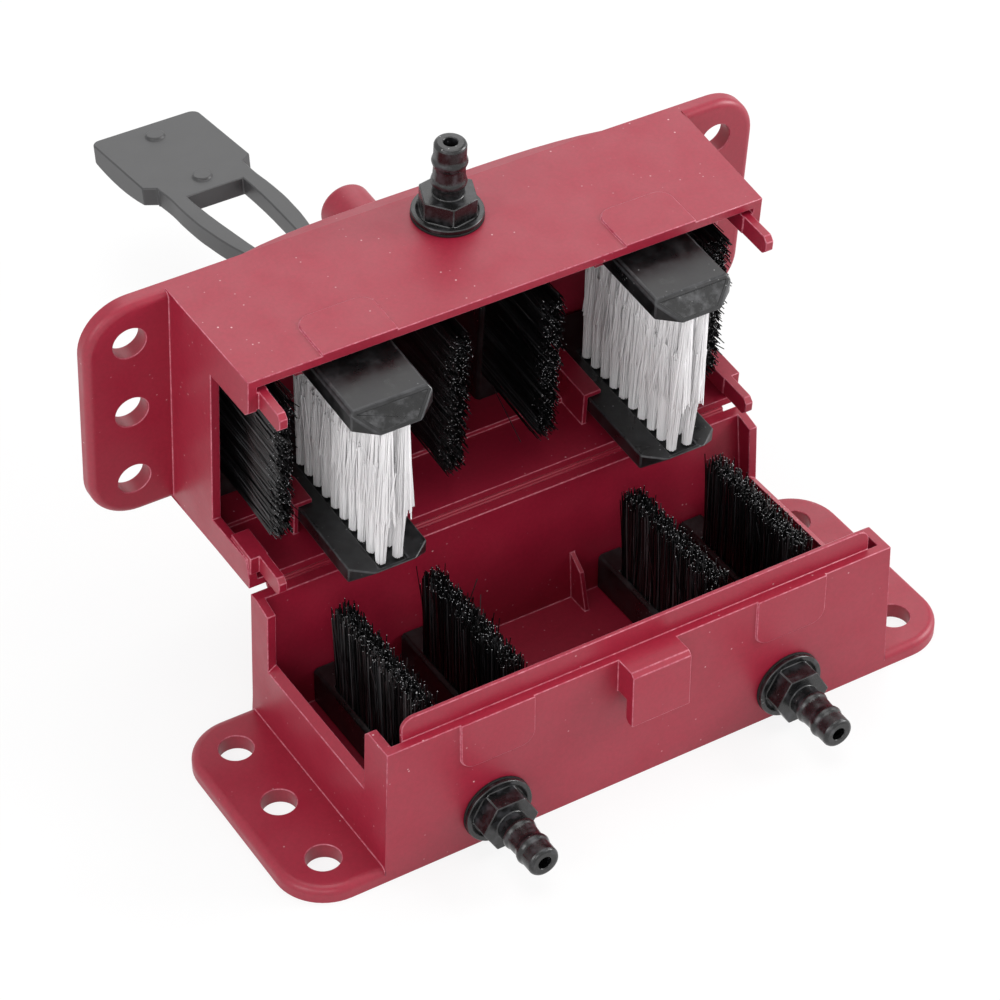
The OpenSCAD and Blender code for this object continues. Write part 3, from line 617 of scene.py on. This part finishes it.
class CLEANER_OT_black_bristles(bpy.types.Operator):
    """Black nylon tufts on the strips of both halves"""

    bl_idname = "cleaner.black_bristles"
    bl_label = "Black bristles"

    def execute(self, context):
        settings = context.scene.cleaner_bristle
        black = nylon("black_nylon_strands", settings.black, BLACK_LIGHTER, 0.72, 0.3, 0.0)
        # Pale tips on some strands: a painted glint
        glint_cut_ends = nylon("cut_nylon_ends_painted_glint", *CUT_END_GLINT_TONES, 0.0, 0.2, 0.0)
        dice = random.Random(23)
        for node in [n for n in frame["nodes"] if "_outer_" in n or "_inner_" in n]:
            if not node.endswith("_bristles"):
                continue
            in_lid = node.startswith("lid")
            out = -LID_W if in_lid else Vector((0, 0, 1))
            along = LID_U if in_lid else Vector((0, 1, 0))
            mesh = frame["nodes"][node].data
            outs = [v.co.dot(out) for v in mesh.vertices]
            runs = [v.co.dot(along) for v in mesh.vertices]
            low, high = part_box(node)
            x = (low.x + high.x) / 2
            foot_out, tip_out = min(outs) + STRIP_FOOT, max(outs)
            start, stop = min(runs) + STRIP_END, max(runs) - STRIP_END
            bm = bmesh.new()
            layer = bm.verts.layers.float.new("strand")
            for row in range(settings.black_rows):
                run = start + (stop - start) * row / (settings.black_rows - 1)
                for column in (-1, 0, 1):
                    slip = dice.uniform(-1, 1) * STRIP_JITTER
                    foot = (out * (foot_out - SUNK) + along * (run + slip)
                            + Vector((x + column * STRIP_COLUMN, 0, 0)))
                    tuft(bm, layer, foot, out, Vector((1, 0, 0)), along,
                         tip_out - foot_out, BLACK_SPREAD, settings.black_strand,
                         settings.black_count, 3, BLACK_UNEVEN, dice, BLACK_STRAY,
                         cut=GLINT_CUT_SHARE)
            piece = piece_from(bm, node + "_tufts", body_of(node),
                               [black, glint_cut_ends], [node])
            if not in_lid:
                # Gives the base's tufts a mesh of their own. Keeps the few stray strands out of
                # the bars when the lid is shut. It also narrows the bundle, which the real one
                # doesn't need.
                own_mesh(piece)
        return {"FINISHED"}


class CLEANER_OT_fittings(bpy.types.Operator):
    """Barbed hose spigots with their hexagons, washers and lock nuts"""

    bl_idname = "cleaner.fittings"
    bl_label = "Spigots"

    def execute(self, context):
        settings = context.scene.cleaner_fitting
        plated = black_plate("black_plated_brass", settings.plating)
        washer = washer_rubber("black_nitrile", settings.washer)
        for node in ("left_drain_spigot", "right_drain_spigot", "inlet_spigot"):
            softened_piece(node, SPIGOT_EDGE, [plated], body_of(node))
        for node in ("drain_nuts", "inlet_nut"):
            softened_piece(node, NUT_EDGE, [plated], body_of(node))
        for node in ("drain_washers", "inlet_washer"):
            softened_piece(node, WASHER_EDGE, [washer], body_of(node))
        return {"FINISHED"}


class CLEANER_OT_strap(bpy.types.Operator):
    """Grey rubber latch strap"""

    bl_idname = "cleaner.strap"
    bl_label = "Latch strap"

    def execute(self, context):
        rubber = strap_rubber("grey_moulded_rubber", context.scene.cleaner_fitting.rubber)
        softened_piece("latch_strap", STRAP_EDGE, [rubber], "strap")
        return {"FINISHED"}


def seen_white(tree):
    """1 for the rays that show the background: from the lens, mirrored, or through glass."""
    rays = add_node(tree, "ShaderNodeLightPath").outputs
    total = rays["Is Camera Ray"]
    for kind in ("Is Glossy Ray", "Is Transmission Ray"):
        total = add_node(tree, "ShaderNodeMath", {"operation": "MAXIMUM"},
                         {0: total, 1: rays[kind]}).outputs[0]
    return total


class CLEANER_OT_stage(bpy.types.Operator):
    """Camera at the photograph's angle, pale floor and soft studio light"""

    bl_idname = "cleaner.stage"
    bl_label = "Stage"

    def execute(self, context):
        settings = context.scene.cleaner_stage
        scene = context.scene
        scene.view_settings.view_transform = "Standard"
        self.camera(scene, settings)
        self.floor(settings)
        self.lamps(scene)
        return {"FINISHED"}

    def camera(self, scene, settings):
        back = Vector((-math.sin(settings.turn) * math.cos(settings.rise),
                       -math.cos(settings.turn) * math.cos(settings.rise),
                       math.sin(settings.rise)))
        data = bpy.data.cameras.new("photo_camera")
        data.lens = settings.lens
        data.sensor_width = 36
        data.clip_start = 0.01
        camera = bpy.data.objects.new("photo_camera", data)
        camera.location = CAMERA_AIM + back * settings.distance
        camera.rotation_euler = back.to_track_quat("Z", "Y").to_euler()
        scene.collection.objects.link(camera)
        scene.camera = camera

    def floor(self, settings):
        bm = bmesh.new()
        bmesh.ops.create_grid(bm, x_segments=1, y_segments=1, size=FLOOR_HALF)
        mesh = bpy.data.meshes.new("floor")
        bm.to_mesh(mesh)
        bm.free()
        floor = bpy.data.objects.new("floor", mesh)
        floor.location.z = -FLOOR_CLEAR
        bpy.context.scene.collection.objects.link(floor)
        finish = Finish("white_paper_floor")
        finish.set(Base_Color=colour(settings.floor), Roughness=0.9)
        finish.set(Specular_IOR_Level=0.2)
        # The lens sees the paper burnt out to white, with a trace of the object's shadow
        glow = finish.add("ShaderNodeEmission", {"Strength": FLOOR_GLOW})
        both = finish.add("ShaderNodeMixShader", {0: FLOOR_BURNT_OUT},
                          {1: finish.shader.outputs[0], 2: glow.outputs[0]})
        seen = finish.add("ShaderNodeMixShader", links={
            0: seen_white(finish.tree), 1: finish.shader.outputs[0], 2: both.outputs[0]})
        out = finish.tree.nodes["Material Output"]
        finish.tree.links.new(seen.outputs[0], out.inputs["Surface"])
        floor.data.materials.append(finish.material)

    def lamps(self, scene):
        world = bpy.data.worlds.new("studio")
        scene.world = world
        world.use_nodes = True
        tree = world.node_tree
        sky = tree.nodes["Background"]
        sky.inputs["Color"].default_value = WHITE
        sky.inputs["Strength"].default_value = SKY_STRENGTH
        seen = add_node(tree, "ShaderNodeBackground", {"Color": WHITE})
        mix = add_node(tree, "ShaderNodeMixShader", links={
            0: seen_white(tree), 1: sky.outputs[0], 2: seen.outputs[0]})
        tree.links.new(mix.outputs[0], tree.nodes["World Output"].inputs["Surface"])
        for name, place, size, power in LAMPS:
            lamp = bpy.data.lights.new(name, "AREA")
            lamp.size = size
            lamp.energy = power
            light = bpy.data.objects.new(name, lamp)
            light.location = place
            light.rotation_euler = (Vector(place) - LAMP_AIM).to_track_quat("Z", "Y").to_euler()
            scene.collection.objects.link(light)


STEPS = (
    CLEANER_OT_shells,
    CLEANER_OT_bars,
    CLEANER_OT_strips,
    CLEANER_OT_white_bristles,
    CLEANER_OT_black_bristles,
    CLEANER_OT_fittings,
    CLEANER_OT_strap,
    CLEANER_OT_stage,
)
GROUPS = {
    "cleaner_shell": ShellSettings,
    "cleaner_bristle": BristleSettings,
    "cleaner_fitting": FittingSettings,
    "cleaner_stage": StageSettings,
}


class CLEANER_PT_panel(bpy.types.Panel):
    """Lists the operators and the sizes and colours they use"""

    bl_idname = "CLEANER_PT_panel"
    bl_label = "Chain cleaner"
    bl_space_type = "VIEW_3D"
    bl_region_type = "UI"
    bl_category = "Chain cleaner"

    def draw(self, context):
        for step in STEPS:
            self.layout.operator(step.bl_idname)
        for name, group in GROUPS.items():
            box = self.layout.box()
            for key in group.__annotations__:
                box.prop(getattr(context.scene, name), key)


def register():
    for group in GROUPS.values():
        bpy.utils.register_class(group)
    for cls in (*STEPS, CLEANER_PT_panel):
        bpy.utils.register_class(cls)
    for name, group in GROUPS.items():
        setattr(bpy.types.Scene, name, PointerProperty(type=group))


def unregister():
    for name in GROUPS:
        delattr(bpy.types.Scene, name)
    for cls in (CLEANER_PT_panel, *reversed(STEPS), *reversed(GROUPS.values())):
        bpy.utils.unregister_class(cls)


def main():
    register()
    for step in STEPS:
        group, name = step.bl_idname.split(".")
        getattr(getattr(bpy.ops, group), name)()


if __name__ == "__main__":
    main()
